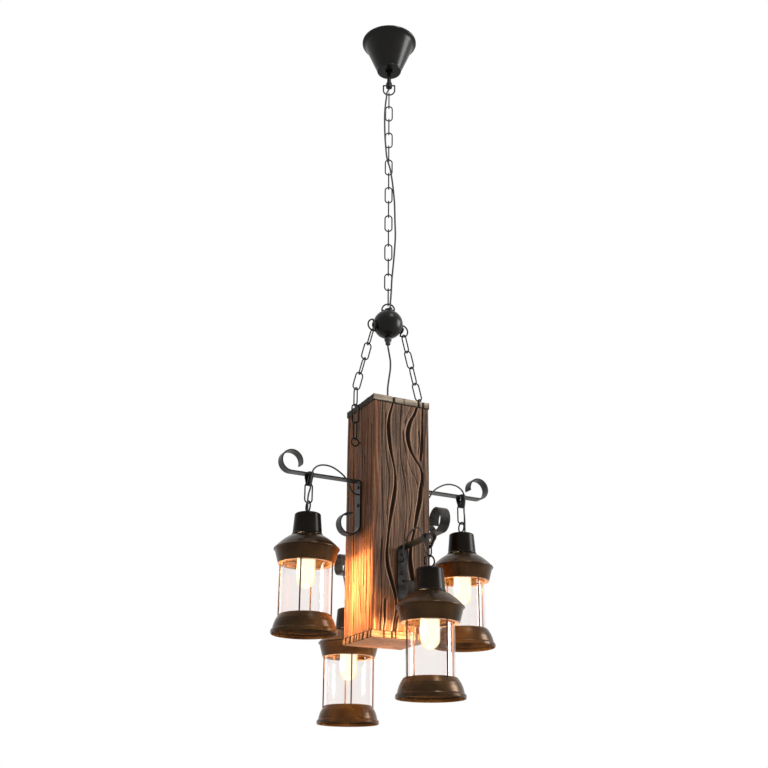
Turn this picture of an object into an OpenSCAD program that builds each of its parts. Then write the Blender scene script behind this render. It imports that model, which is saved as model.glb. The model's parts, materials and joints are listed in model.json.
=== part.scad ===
// Chandelier: four caged glass lanterns on scrolled strap arms round a hollow timber post,
// hung by chains from a ball and a ceiling canopy.
// The origin is the middle of the ceiling bracket's top face, +Z is up and -Y is the front.

/* [Canopy] */
// Diameter of the canopy's rim
canopy_d = 133; // [124:1:180]
// Depth of the canopy below the ceiling
canopy_h = 88; // [60:1:120]
// Diameter of the canopy's cone where it leaves the rim
canopy_cone_d = 116; // [90:1:118]
// Diameter of the canopy's flat bottom
canopy_base_d = 54; // [40:1:70]
// Thickness of the spun sheet in canopy and lanterns
sheet_t = 1.2; // [0.8:0.1:2]
// Length of the ceiling bracket
bracket_l = 100; // [80:1:105]
// Width of the ceiling bracket
bracket_w = 20; // [16:1:30]
// Thickness of the ceiling bracket
bracket_t = 3; // [2:0.5:5]
// Distance between the bracket's two screw slots
slot_spacing = 70; // [60:1:74]
// Width of a screw slot
slot_w = 5.2; // [4:0.1:6]
// Length of a screw slot, end to end
slot_l = 16; // [10:1:20]

/* [Hanging loops] */
// Diameter of the hollow threaded stem
stem_d = 10; // [9:0.5:12]
// Bore of the threaded stem and of the loops' bosses
stem_bore = 6; // [5:0.5:7]
// Length of stem between the canopy and the ceiling loop
stem_drop = 47; // [35:1:60]
// Outer width of the loops on the stem and on the ball
loop_w = 31; // [28:1:36]
// Wire thickness of these loops
loop_wire = 3.5; // [3:0.1:4]
// Height of the ceiling loop
ceiling_loop_h = 31; // [28:1:40]
// Height of the three loops on the ball
ball_loop_h = 19; // [17:1:26]

/* [Chain] */
// Wire thickness of a chain link
link_wire = 3; // [2.5:0.1:3.4]
// Outer length of a chain link
link_l = 44.5; // [36:0.5:52]
// Outer width of a chain link
link_w = 19; // [17:0.5:21]
// Number of links between the ceiling loop and the ball
main_links = 15; // [9:2:21]
// Links of each side chain that lean outwards from the ball
lean_links = 4; // [4:2:6]
// Links of each side chain that hang beside the post
plumb_links = 3; // [3:2:5]
// Turn of the main chain about the vertical
chain_turn = -27; // [-45:1:45]

/* [Ball] */
// Diameter of the ball
ball_d = 66; // [56:1:80]
// Thickness of the ball's wall
ball_wall = 1.5; // [1:0.1:3]
// Angle of the side loops below the horizontal
side_loop_tilt = 14; // [0:1:20]
// Length of the cable gland under the ball
gland_l = 17; // [12:1:25]
// Upper diameter of the cable gland
gland_d = 16; // [14:1:20]

/* [Post] */
// Width of the square timber post
post_w = 130; // [110:1:150]
// Height of the post with its end boards
post_h = 500; // [450:5:600]
// Thickness of the side boards
board_t = 14; // [10:0.5:20]
// Thickness of the top and bottom boards
cap_t = 14; // [10:0.5:20]
// Overhang of the top and bottom boards
cap_over = 1.5; // [0:0.5:4]
// Distance from the top of the post down to the chain eyes
eye_drop = 90; // [80:1:110]
// Outer diameter of the chain eyes screwed to the post
eye_d = 20; // [18:1:24]

/* [Arms] */
// Width of the flat strap
strap_w = 20; // [16:1:26]
// Thickness of the flat strap
strap_t = 3; // [2:0.5:4]
// Distance from the post's axis to the start of the end scroll
arm_l = 219; // [205:1:240]
// Distance from the post's axis to a lantern's axis
lantern_reach = 178; // [170:1:185]
// Middle radius of both scrolls
scroll_r = 22; // [18:0.5:24]
// Length of the strap's upright against the post
upright_l = 94; // [90:1:110]
// Distance from the top of the post down to the upper arms
upper_arm_drop = 174; // [160:1:190]
// Distance from the upper arms down to the lower arms
tier_drop = 146; // [130:1:155]
// Diameter of the arms' fixing screws
arm_screw_d = 4; // [3:0.5:5]

/* [Hangers] */
// Width of the band that hangs a lantern
hanger_w = 10; // [8:0.5:11]
// Thickness of that band
hanger_t = 2; // [1.5:0.5:2.5]
// Height of the band below the arm's underside
hanger_drop = 23; // [18:1:26]

/* [Lanterns] */
// Diameter of the base's lower rim
base_d = 130; // [110:1:132]
// Height of the base
base_h = 37; // [30:1:45]
// Diameter of the base's upper rim
base_top_d = 97; // [90:1:100]
// Outer diameter of the glass cylinder
glass_d = 93; // [80:1:93]
// Wall of the glass cylinder
glass_wall = 2; // [1.5:0.5:3]
// Open height between the base and the roof
cage_h = 99; // [80:1:120]
// Diameter of the roof's lower rim
roof_low_d = 111; // [108:1:116]
// Diameter of the roof's widest rim
roof_d = 131; // [122:1:133]
// Height of the roof's skirt
skirt_h = 31; // [24:1:40]
// Height of the roof's dome
dome_h = 27; // [20:1:34]
// Diameter of the neck at the roof
neck_low_d = 59; // [54:1:64]
// Diameter of the neck at the top
neck_top_d = 53; // [48:1:58]
// Height of the neck
neck_h = 44; // [38:1:55]
// Diameter of the cage rods
rod_d = 3; // [2.4:0.1:4]
// Diameter of the circle that the cage rods stand on
rod_circle_d = 104.4; // [104:0.2:107]
// Outer diameter of a lantern's top ring
ring_d = 25; // [23:0.5:28]
// Wire thickness of a lantern's top ring
ring_wire = 3.2; // [2.8:0.1:3.6]

/* [Bulbs] */
// Diameter of a bulb
bulb_d = 38; // [32:1:42]
// Length of a bulb below its cap
bulb_l = 98; // [80:1:110]
// Diameter of a bulb's screw cap
bulb_cap_d = 26; // [25:0.5:27]
// Length of a bulb's screw cap
bulb_cap_l = 26; // [24:1:28]
// Outer diameter of a lamp holder
holder_d = 37; // [34:1:40]
// Length of a lamp holder
holder_l = 46; // [40:1:52]

/* [Cables] */
// Diameter of the main cable and of the drop cable
main_cable_d = 4; // [3:0.5:4.5]
// Diameter of the lantern cables
lantern_cable_d = 3.4; // [2.6:0.1:3.6]

/* [Hidden] */
$fn = 48;

// Clearances: between hanging wires, between seated pieces, and round a cable
wire_gap = 0.4;
seat_gap = 0.3;
cable_gap = 0.4;
// The canopy's rim stays this far off the ceiling
rim_gap = 0.5;

// Link: the radius of the wire's middle line, and the step from link to link
link_r = (link_w - link_wire) / 2;
pitch = link_l - 2 * link_wire - wire_gap;

// Ceiling loop: its boss hangs under the stem
boss_d = stem_d + 5;
boss_h = 12;
boss_top = -canopy_h - stem_drop + boss_h;
ceiling_loop_z = boss_top - boss_h / 2;
// The first chain joint lies just above the loop's lowest wire
main_chain_z = ceiling_loop_z + loop_wire / 2 - ceiling_loop_h + loop_wire + wire_gap / 2;

// Ball: its top loop is caught by the last link
top_loop_tip = main_chain_z - main_links * pitch + loop_wire + wire_gap / 2;
ball_z = top_loop_tip - ball_loop_h - ball_d / 2;
loop_boss_h = 4;
// Bush in the top of the ball: its diameter, and its place across and towards the front
bush_d = 7;
bush_off = [5, -12];

// Side loops of the ball: distance from the ball's centre to the middle of the bow, and its place
bow_r = (loop_w - loop_wire) / 2;
bow_far = ball_d / 2 + ball_loop_h - loop_w / 2;
bow_x = bow_far * cos(side_loop_tilt);
bow_z = ball_z - bow_far * sin(side_loop_tilt);

// Side chains: a leaning stretch from the bow, then a plumb one beside the post
plumb_x = post_w / 2 + cap_over + max(link_w, eye_d) / 2 + seat_gap;
lean_l = bow_r - loop_wire / 2 - wire_gap / 2 + lean_links * pitch;
lean = asin((plumb_x - bow_x) / lean_l);
bend_z = bow_z - lean_l * cos(lean);
eye_wire = link_wire;
eye_z = bend_z - plumb_links * pitch + eye_wire + wire_gap / 2 - eye_d / 2;

// Post
post_top = eye_z + eye_drop;
post_bottom = post_top - post_h;
board_h = post_h - 2 * cap_t;
inner_w = post_w - 2 * board_t;

// Arms: the top face of each bar, and the places of the holes down the upright
upper_z = post_top - upper_arm_drop;
lower_z = upper_z - tier_drop;
corner_r = 4;
cable_hole_drop = 29;
screw_drops = [14, 52];

// Lantern heights above the lowest point of its base
roof_low_z = base_h + cage_h;
roof_rim_z = roof_low_z + skirt_h;
neck_z = roof_rim_z + dome_h;
neck_top_z = neck_z + neck_h;
ring_foot = 4;
ring_mid_z = neck_top_z + ring_foot + ring_d / 2 - ring_wire / 2;
// The second chain joint of a lantern, where its ring is caught by the link
ring_joint_z = ring_mid_z + ring_d / 2 - ring_wire - wire_gap / 2;
// Inner radius of a band's low bend and of its knees
band_r = 2.4;
// The first chain joint of a lantern, below the arm's top face, where the round end of the link
// rides on the edges of the band, and the drop of the lantern's base
link_bore_r = link_w / 2 - link_wire;
saddle = link_bore_r - sqrt(link_bore_r * link_bore_r - hanger_w * hanger_w / 4);
link_joint_drop = strap_t + hanger_drop - hanger_t - saddle - wire_gap / 2;
lantern_drop = link_joint_drop + pitch + ring_joint_z;
// The front lantern's link is shorter, as its chain is bunched up
bunched_link_l = link_l - 19;
// Where the cable enters the neck: along the arm, and sideways
cable_hole_off = [4, 8];

// Places: direction of the arm, top of its bar, length of its link,
// turn of its cage and the side on which its cable comes down
LEFT = [180, upper_z, link_l, 56, 1];
RIGHT = [0, upper_z, link_l, 8, -1];
FRONT = [270, lower_z, bunched_link_l, 7, -1];
BACK = [90, lower_z, link_l, 72, 1];
PLACES = [LEFT, RIGHT, FRONT, BACK];

holder_gap = 7;
holder_top_z = neck_top_z - sheet_t - holder_gap;
holder_low_z = holder_top_z - holder_l;
glass_low_z = base_h - 8;
glass_top_z = roof_low_z + 12;

// Route of the main cable beside the chain: across, towards the front, and height above the ball
main_route = [
    [0, 0, 645], [0, 0, 636], [-2, -2, 629], [-5, -5, 621], [-6, -6, 608], [-8, -6, 590],
    [-10, -5, 560], [-10, -5, 526], [-9, -5, 492], [-7, -5, 462], [-5, -6, 438], [-2, -7, 422],
    [3, -7, 404], [7, -6, 380], [11, -5, 346], [14, -5, 306], [15, -5, 262], [16, -5, 222],
    [14, -5, 182], [11, -5, 142], [8, -5, 106], [7, -6, 80], [6, -9, 62], [5, -12, 46], [5, -12, 28]
];
// Route of the drop cable from the gland to the post: across, towards the front, height above the post
drop_route = [
    [0, 0, 158], [0, 0, 146], [3, 0, 129], [6, 0, 112], [6, 0, 92], [3, 0, 70],
    [0, 0, 46], [0, 0, 18], [0, 0, -10]
];
// Route of a lantern cable: distance from the post's axis, sideways, height above the bar
lantern_route = [
    [46, 0, -29], [69, 0, -29], [82, 4, -27], [93, 12, -17], [101, 14, -4], [115, 14, 8],
    [138, 14, 18], [160, 14, 17], [174, 15, 7], [179, 15, -10]
];
// The rest of a lantern cable, down into the neck: at full length, and at the bunched-up chain
cable_tail = [[179, 11, -32], [182, 8, -50], [182, 8, -89]];
bunched_cable_tail = [[181, 13, -24], [182.3, 9, -42], [182, 8, -56], [182, 8, -70]];

// Unit vector along v
function unit(v) = v / norm(v);
// Left-hand normal of the line from a to b
function normal(a, b) = let(d = unit(b - a)) [-d[1], d[0]];
// Points of p moved sideways by t, with mitred corners
function moved(p, t) = [
    for (i = [0:len(p) - 1])
        let(
            k = len(p) - 1,
            m = normal(p[max(i - 1, 0)], p[max(i, 1)]) + normal(p[min(i, k - 1)], p[min(i + 1, k)])
        )
        p[i] + m * 2 * t / (m * m)
];
// Points of p in reverse order
function back(p) = [for (i = [len(p) - 1:-1:0]) p[i]];
// Points on an arc round c from angle a to angle b
function arc(c, r, a, b, n) = [for (i = [0:n]) let(t = a + (b - a) * i / n) c + r * [cos(t), sin(t)]];
// Direction of the route p at point i
function along(p, i) = unit(p[min(i + 1, len(p) - 1)] - p[max(i - 1, 0)]);

// Sheet of thickness t turned about Z, its outside along the profile p
module spun(p, t) {
    rotate_extrude() polygon(concat(p, back(moved(p, t))));
}

// Straight tube standing on z
module tube(d, bore, z, h) {
    translate([0, 0, z]) difference() {
        cylinder(d = d, h = h);
        translate([0, 0, -1]) cylinder(d = bore, h = h + 2);
    }
}

// Hexagon nut standing on z
module nut(across, bore, z, h) {
    translate([0, 0, z]) difference() {
        cylinder(d = across / cos(30), h = h, $fn = 6);
        translate([0, 0, -1]) cylinder(d = bore, h = h + 2);
    }
}

// Cable swept along the route p, with sides facing the direction side
module cable(p, d, side) {
    sides = 8;
    rings = len(p);
    points = [
        for (i = [0:rings - 1])
            let(t = along(p, i), s = unit(side - t * (t * side)), u = cross(t, s))
            for (k = [0:sides - 1]) let(a = 360 * (k + 0.5) / sides) p[i] + d / 2 * (s * cos(a) + u * sin(a))
    ];
    walls = [
        for (i = [0:rings - 2])
            for (k = [0:sides - 1])
                let(a = i * sides + k, b = i * sides + (k + 1) % sides)
                each [[a, b, a + sides], [b, b + sides, a + sides]]
    ];
    last = (rings - 1) * sides;
    ends = [for (k = [1:sides - 2]) each [[0, k + 1, k], [last, last + k, last + k + 1]]];
    polyhedron(points, concat(walls, ends));
}

// Chain link of outer length l in the XZ plane, round its middle
module link(l) {
    half_side = (l - link_w) / 2;
    for (s = [-1, 1]) {
        translate([s * link_r, 0, -half_side]) cylinder(d = link_wire, h = 2 * half_side);
        translate([0, 0, s * half_side]) rotate([s * 90, 0, 0])
            rotate_extrude(angle = 180) translate([link_r, 0]) circle(d = link_wire);
    }
}

// Loop in the XZ plane that hangs down from the middle of its bar, with a bored boss round the bar
module hanging_loop(h, boss_up, boss_down) {
    leg = h - loop_w / 2 - loop_wire / 2;
    difference() {
        union() {
            rotate([0, 90, 0]) cylinder(d = loop_wire, h = 2 * bow_r, center = true);
            for (s = [-1, 1]) translate([s * bow_r, 0, 0]) {
                sphere(d = loop_wire);
                translate([0, 0, -leg]) cylinder(d = loop_wire, h = leg);
            }
            translate([0, 0, -leg]) rotate([-90, 0, 0])
                rotate_extrude(angle = 180) translate([bow_r, 0]) circle(d = loop_wire);
            translate([0, 0, -boss_down]) cylinder(d = boss_d, h = boss_up + boss_down);
        }
        translate([0, 0, -boss_down - 1]) cylinder(d = stem_bore, h = boss_up + boss_down + 2);
    }
}

module canopy() {
    rim = canopy_d / 2;
    cone = canopy_cone_d / 2;
    base = canopy_base_d / 2;
    outside = concat(
        [[rim, -rim_gap], [rim, -3.5], [rim - 1, -4.8], [rim - 2.8, -6.2]],
        [[cone + 3.2, -8.2], [cone + 1.2, -10.5], [cone, -13], [base + 2.5, -canopy_h + 4]],
        arc([base, -canopy_h + 2.5], 2.5, -15, -90, 3),
        [[stem_d / 2 + seat_gap, -canopy_h]]
    );
    color([0.10, 0.09, 0.085]) spun(outside, -sheet_t);
}

module ceiling_bracket() {
    color("silver") difference() {
        translate([-bracket_l / 2, -bracket_w / 2, -bracket_t]) cube([bracket_l, bracket_w, bracket_t]);
        translate([0, 0, -bracket_t - 1]) cylinder(d = stem_d + 0.2, h = bracket_t + 2);
        for (s = [-1, 1]) translate([s * slot_spacing / 2, 0, -bracket_t - 1]) linear_extrude(bracket_t + 2) {
            square([slot_l - slot_w, slot_w], center = true);
            for (e = [-1, 1]) translate([e * (slot_l - slot_w) / 2, 0]) circle(d = slot_w);
        }
    }
}

// Hexagon nuts on the stem, under the bracket and inside the canopy
module bracket_nuts() {
    color("silver") {
        nut(17, stem_d + 0.2, -bracket_t - 4 - seat_gap, 4);
        nut(17, stem_d + 0.2, -canopy_h + sheet_t + seat_gap, 4);
    }
}

module stem() {
    color([0.1, 0.09, 0.085]) tube(stem_d, stem_bore, boss_top + seat_gap, -boss_top - 1);
}

module canopy_nut() {
    color([0.1, 0.09, 0.085]) nut(17, stem_d + 0.2, -canopy_h - 6 - seat_gap, 6);
}

// Terminal block that hangs from the bracket inside the canopy
module ceiling_terminal() {
    color("ivory") terminal([21, 0, -bracket_t - seat_gap], 14);
}

// Block of three terminals below the point top, with a screw well over each
module terminal(top, h) {
    poles = 3;
    step = 8;
    translate(top) difference() {
        translate([-9, -poles * step / 2, -h]) cube([18, poles * step, h]);
        for (k = [0:poles - 1]) translate([0, (k - (poles - 1) / 2) * step, 0]) {
            translate([0, 0, -h - 1]) cylinder(d = 4, h = 5);
            translate([-10, 0, -h / 2]) rotate([0, 90, 0]) cylinder(d = 3.4, h = 20);
        }
    }
}

module ceiling_loop() {
    color([0.1, 0.09, 0.085]) translate([0, 0, ceiling_loop_z]) rotate([0, 0, chain_turn])
        hanging_loop(ceiling_loop_h, boss_h / 2, boss_h / 2);
}

// Links that hang plumb from the joint height z, with the first one across the turn
module plumb_chain(z, count, first) {
    for (k = [0:count - 1])
        translate([0, 0, z - (k + 0.5) * pitch]) rotate([0, 0, first + 90 * (k % 2)]) link(link_l);
}

module main_chain() {
    color([0.12, 0.11, 0.1]) plumb_chain(main_chain_z, main_links, chain_turn + 90);
}

module main_cable() {
    color([0.06, 0.06, 0.06]) translate([0, 0, ball_z]) rotate([0, 0, chain_turn])
        cable(main_route, main_cable_d, [0, 1, 0]);
}

module ball() {
    hole = stem_d + 2 * seat_gap;
    color([0.1, 0.09, 0.085]) translate([0, 0, ball_z]) difference() {
        sphere(d = ball_d, $fn = 96);
        sphere(d = ball_d - 2 * ball_wall, $fn = 96);
        cylinder(d = hole, h = ball_d);
        rotate([180, 0, 0]) cylinder(d = hole, h = ball_d);
        for (s = [-1, 1]) rotate([0, s * (90 + side_loop_tilt), 0]) cylinder(d = hole, h = ball_d);
        at_bush() cylinder(d = bush_d + 2 * seat_gap, h = ball_d);
    }
}

// Moves its children from the ball's centre to the line on which the main cable enters the ball
module at_bush() {
    rotate([0, 0, chain_turn]) translate([bush_off[0], bush_off[1], 0]) children();
}

// Loop that stands on the ball's surface, its stem through the wall
module ball_loop() {
    far = ball_d / 2 + loop_wire / 2;
    stem_in = 10;
    translate([0, 0, far]) rotate([180, 0, 0]) hanging_loop(ball_loop_h, 0, 0.01);
    difference() {
        union() {
            translate([0, 0, ball_d / 2 + 0.2]) cylinder(d = boss_d, h = loop_boss_h);
            translate([0, 0, ball_d / 2 - stem_in]) cylinder(d = stem_d, h = stem_in + 1);
        }
        translate([0, 0, ball_d / 2 - stem_in - 1]) cylinder(d = stem_bore, h = stem_in + loop_boss_h + 3);
    }
}

// The three directions of the ball's loops, from its centre
module ball_ways() {
    translate([0, 0, ball_z]) {
        rotate([0, 0, chain_turn]) children();
        for (s = [-1, 1]) rotate([0, s * (90 + side_loop_tilt), 0]) children();
    }
}

module ball_loops() {
    color([0.12, 0.11, 0.1]) ball_ways() ball_loop();
}

module ball_nuts() {
    color("silver") ball_ways() nut(15, stem_d + 0.2, ball_d / 2 - ball_wall - 5.5, 3.5);
}

// Tapered gland screwed into the ball from below, and the flanged bush of the main cable above
module ball_gland() {
    top = -ball_d / 2 - 0.2;
    bore = main_cable_d + 2 * cable_gap;
    near = norm(bush_off) - bush_d / 2 - 1.2;
    flange_z = sqrt(ball_d * ball_d / 4 - near * near) + 0.2;
    color([0.05, 0.05, 0.05]) translate([0, 0, ball_z]) at_bush() {
        tube(bush_d, bore, flange_z - 8, 8);
        tube(bush_d + 2.4, bore, flange_z, 2.5);
    }
    color([0.05, 0.05, 0.05]) translate([0, 0, ball_z]) difference() {
        rotate_extrude() polygon([
            [0, top + 9], [stem_d / 2, top + 9], [stem_d / 2, top], [gland_d / 2 - 0.6, top],
            [gland_d / 2, top - 1.5], [gland_d / 2, top - 6.5], [gland_d / 2 - 2, top - 8.5],
            [gland_d / 2 - 2.4, top - gland_l + 1.5], [gland_d / 2 - 3.6, top - gland_l], [0, top - gland_l]
        ]);
        translate([0, 0, top - gland_l - 1]) cylinder(d = bore, h = gland_l + 12);
    }
}

module drop_cable() {
    color([0.06, 0.06, 0.06]) translate([0, 0, post_top]) cable(drop_route, main_cable_d, [0, 1, 0]);
}

module side_chains() {
    start = bow_r - loop_wire / 2 - wire_gap / 2;
    color([0.12, 0.11, 0.1]) for (s = [0, 1]) mirror([s, 0, 0]) {
        translate([bow_x, 0, bow_z]) rotate([0, -lean, 0]) for (k = [0:lean_links - 1])
            translate([0, 0, -start - (k + 0.5) * pitch]) rotate([0, 0, 90 * ((k + 1) % 2)]) link(link_l);
        translate([plumb_x, 0, 0]) plumb_chain(bend_z, plumb_links, 90);
    }
}

// Screw eyes in the left and right boards
module post_eyes() {
    shank = board_t - 3;
    color([0.12, 0.11, 0.1]) for (s = [0, 1]) mirror([s, 0, 0]) translate([plumb_x, 0, eye_z]) {
        rotate([90, 0, 0]) rotate_extrude() translate([(eye_d - eye_wire) / 2, 0]) circle(d = eye_wire);
        translate([-plumb_x + post_w / 2 - shank, 0, 0]) rotate([0, 90, 0])
            cylinder(d = eye_wire, h = shank + plumb_x - post_w / 2 - eye_d / 2 + eye_wire / 2);
    }
}

// Board on the +X side, bored for its arm's screws and cable and, on the sides, for the chain's eye
module board(w, arm_z, with_eye) {
    translate([post_w / 2 - board_t, 0, 0]) difference() {
        translate([0, -w / 2, post_bottom + cap_t]) cube([board_t, w, board_h]);
        for (d = screw_drops) translate([-1, 0, arm_z - d]) rotate([0, 90, 0])
            cylinder(d = arm_screw_d + 0.2, h = board_t + 2);
        translate([-1, 0, arm_z - cable_hole_drop]) rotate([0, 90, 0])
            cylinder(d = lantern_cable_d + 2 * cable_gap, h = board_t + 2);
        if (with_eye) translate([-1, 0, eye_z]) rotate([0, 90, 0])
            cylinder(d = eye_wire + 0.2, h = board_t + 2);
    }
}

module left_board() {
    color([0.36, 0.22, 0.13]) rotate([0, 0, 180]) board(post_w, upper_z, true);
}

module right_board() {
    color([0.36, 0.22, 0.13]) board(post_w, upper_z, true);
}

module front_board() {
    color([0.33, 0.24, 0.19]) rotate([0, 0, 270]) board(inner_w, lower_z, false);
}

module back_board() {
    color([0.33, 0.24, 0.19]) rotate([0, 0, 90]) board(inner_w, lower_z, false);
}

// End board of the post with its underside at z
module end_board(z, hole) {
    w = post_w + 2 * cap_over;
    difference() {
        translate([-w / 2, -w / 2, z]) cube([w, w, cap_t]);
        translate([0, 0, z - 1]) cylinder(d = hole, h = cap_t + 2);
    }
}

module top_board() {
    color([0.34, 0.23, 0.16]) end_board(post_top - cap_t, main_cable_d + 2 * cable_gap);
}

module bottom_board() {
    color([0.34, 0.23, 0.16]) end_board(post_bottom, 8);
}

// Terminal block inside the post, fixed under the top board
module post_terminal() {
    color("ivory") terminal([24, 0, post_top - cap_t - seat_gap], 16);
}

// Strap arm towards +X with the top of its bar at z
module arm(z) {
    w = strap_w;
    t = strap_t;
    x0 = post_w / 2;
    top = -t / 2;
    low = -upright_l;
    module bow(c, r, from, to) {
        translate([c[0], 0, c[1]]) rotate([90, 0, 0]) rotate([0, 0, from])
            rotate_extrude(angle = to - from) translate([r, 0]) square([t, w], center = true);
    }
    translate([0, 0, z]) difference() {
        union() {
            bow([x0 + t / 2 + scroll_r, low], scroll_r, 180, 462);
            translate([x0, -w / 2, low]) cube([t, w, upright_l - t / 2 - corner_r]);
            bow([x0 + t / 2 + corner_r, top - corner_r], corner_r, 90, 180);
            translate([x0 + t / 2 + corner_r, -w / 2, -t]) cube([arm_l - x0 - t / 2 - corner_r, w, t]);
            bow([arm_l, top + scroll_r], scroll_r, -90, 195);
        }
        for (d = screw_drops) translate([x0 - 1, 0, -d]) rotate([0, 90, 0])
            cylinder(d = arm_screw_d + 0.4, h = t + 2);
        translate([x0 - 1, 0, -cable_hole_drop]) rotate([0, 90, 0])
            cylinder(d = lantern_cable_d + 2 * cable_gap, h = t + 2);
    }
}

module left_arm() {
    color([0.16, 0.15, 0.14]) rotate([0, 0, 180]) arm(upper_z);
}

module right_arm() {
    color([0.16, 0.15, 0.14]) arm(upper_z);
}

module front_arm() {
    color([0.16, 0.15, 0.14]) rotate([0, 0, 270]) arm(lower_z);
}

module back_arm() {
    color([0.16, 0.15, 0.14]) rotate([0, 0, 90]) arm(lower_z);
}

// Pan-head screws that hold the arms to the boards
module arm_screws() {
    head_d = arm_screw_d * 2;
    head_h = 2.4;
    color("dimgray") for (p = PLACES, d = screw_drops) rotate([0, 0, p[0]])
        translate([post_w / 2 + strap_t, 0, p[1] - d]) rotate([0, 90, 0]) {
            translate([0, 0, 0.1]) cylinder(d1 = head_d, d2 = head_d * 0.7, h = head_h, $fn = 24);
            translate([0, 0, -strap_t - board_t + 2]) cylinder(d = arm_screw_d, h = strap_t + board_t - 1);
        }
}

// Outline of a hanger's band seen along the arm: its inside, grown outwards
function band(grow) = let(
        r = band_r + grow,
        top_r = seat_gap + grow,
        knee_x = strap_w / 2 + seat_gap - band_r,
        knee_z = -strap_t - seat_gap - 1,
        low_z = -strap_t - hanger_drop + hanger_t + band_r,
        slope = atan2(knee_z - low_z, knee_x) - 90
    ) concat(
        arc([0, low_z], r, -180 - slope, slope, 8),
        arc([knee_x, knee_z], r, slope, 0, 3),
        arc([strap_w / 2, 0], top_r, 0, 90, 3),
        arc([-strap_w / 2, 0], top_r, 90, 180, 3),
        arc([-knee_x, knee_z], r, 180, 180 - slope, 3)
    );

// Bands slung over the four arms
module hangers() {
    color([0.14, 0.13, 0.12]) for (p = PLACES) rotate([0, 0, p[0]])
        translate([lantern_reach - hanger_w / 2, 0, p[1]]) rotate([90, 0, 90]) linear_extrude(hanger_w)
            difference() {
                polygon(band(hanger_t));
                polygon(band(0));
            }
}

module lantern_cables() {
    color([0.06, 0.06, 0.06]) for (p = PLACES) rotate([0, 0, p[0]]) {
        route = concat(lantern_route, p[2] < link_l ? bunched_cable_tail : cable_tail);
        cable([for (q = route) [q[0], p[4] * q[1], p[1] + q[2]]], lantern_cable_d, [0, 1, 0]);
    }
}

// Height of the lowest point of the lantern at place p
function lantern_z(p) = p[1] - lantern_drop + link_l - p[2];

// Moves its children from the arm's direction +X at the lantern's foot to place p
module at_lantern(p) {
    rotate([0, 0, p[0]]) translate([lantern_reach, 0, lantern_z(p)]) children();
}

module lantern_link(p) {
    color([0.12, 0.11, 0.1]) rotate([0, 0, p[0]])
        translate([lantern_reach, 0, p[1] - link_joint_drop - (pitch - link_l + p[2]) / 2]) link(p[2]);
}

// Cup over the lamp holder, with the ring that hangs the lantern
module neck(p) {
    r = neck_top_d / 2;
    outside = concat(
        [[neck_low_d / 2 + 1.5, neck_z + seat_gap], [neck_low_d / 2 + 1.5, neck_z + 1.5]],
        [[neck_low_d / 2, neck_z + 3.5], [r, neck_top_z - 5]],
        arc([r - 4, neck_top_z - 4], 4, 15, 90, 4),
        [[ring_foot, neck_top_z]]
    );
    color([0.1, 0.09, 0.085]) at_lantern(p) {
        difference() {
            spun(outside, sheet_t);
            translate([cable_hole_off[0], p[4] * cable_hole_off[1], neck_top_z - sheet_t - 1])
                cylinder(d = lantern_cable_d + 2 * cable_gap, h = sheet_t + 2);
        }
        translate([0, 0, ring_mid_z]) rotate([0, 90, 0])
            rotate_extrude() translate([(ring_d - ring_wire) / 2, 0]) circle(d = ring_wire);
        translate([0, 0, holder_top_z - 4])
            cylinder(d = 2 * ring_foot - 0.6, h = holder_gap + 4 + sheet_t + ring_foot + ring_wire / 2);
    }
}

module roof(p) {
    low = roof_low_d / 2;
    rim = roof_d / 2;
    outside = concat(
        [[rod_circle_d / 2 - 5, roof_low_z], [low, roof_low_z], [low + 2, roof_low_z + 6]],
        [[rim - 2.5, roof_rim_z - 4]],
        arc([rim - 2, roof_rim_z - 2], 2, -30, 60, 4),
        [[rim - 8, roof_rim_z + 7], [rim - 17, roof_rim_z + 15], [rim - 27, roof_rim_z + 22]],
        [[neck_low_d / 2, neck_z], [holder_d / 2 + 2, neck_z]]
    );
    color([0.12, 0.1, 0.09]) at_lantern(p) difference() {
        spun(outside, sheet_t);
        rods_at(p) translate([0, 0, roof_low_z - 1]) cylinder(d = rod_d + 0.4, h = sheet_t + 2);
    }
}

// Lamp holder hung from the neck, open at its lower end
module holder(p) {
    floor_t = 6;
    color([0.9, 0.88, 0.82]) at_lantern(p) difference() {
        translate([0, 0, holder_low_z]) cylinder(d = holder_d, h = holder_l);
        translate([0, 0, holder_low_z - 1]) cylinder(d = bulb_cap_d + 2 * seat_gap, h = holder_l - floor_t + 1);
        translate([0, 0, holder_top_z - floor_t - 1]) cylinder(d = 2 * ring_foot, h = floor_t + 2);
    }
}

module glass(p) {
    color([0.8, 0.85, 0.85, 0.3]) at_lantern(p)
        tube(glass_d, glass_d - 2 * glass_wall, glass_low_z + seat_gap, glass_top_z - glass_low_z);
}

// Repeats its children at the four rods
module rods_at(p) {
    for (k = [0:3]) rotate([0, 0, p[3] + 90 * k]) translate([rod_circle_d / 2, 0, 0]) children();
}

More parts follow.
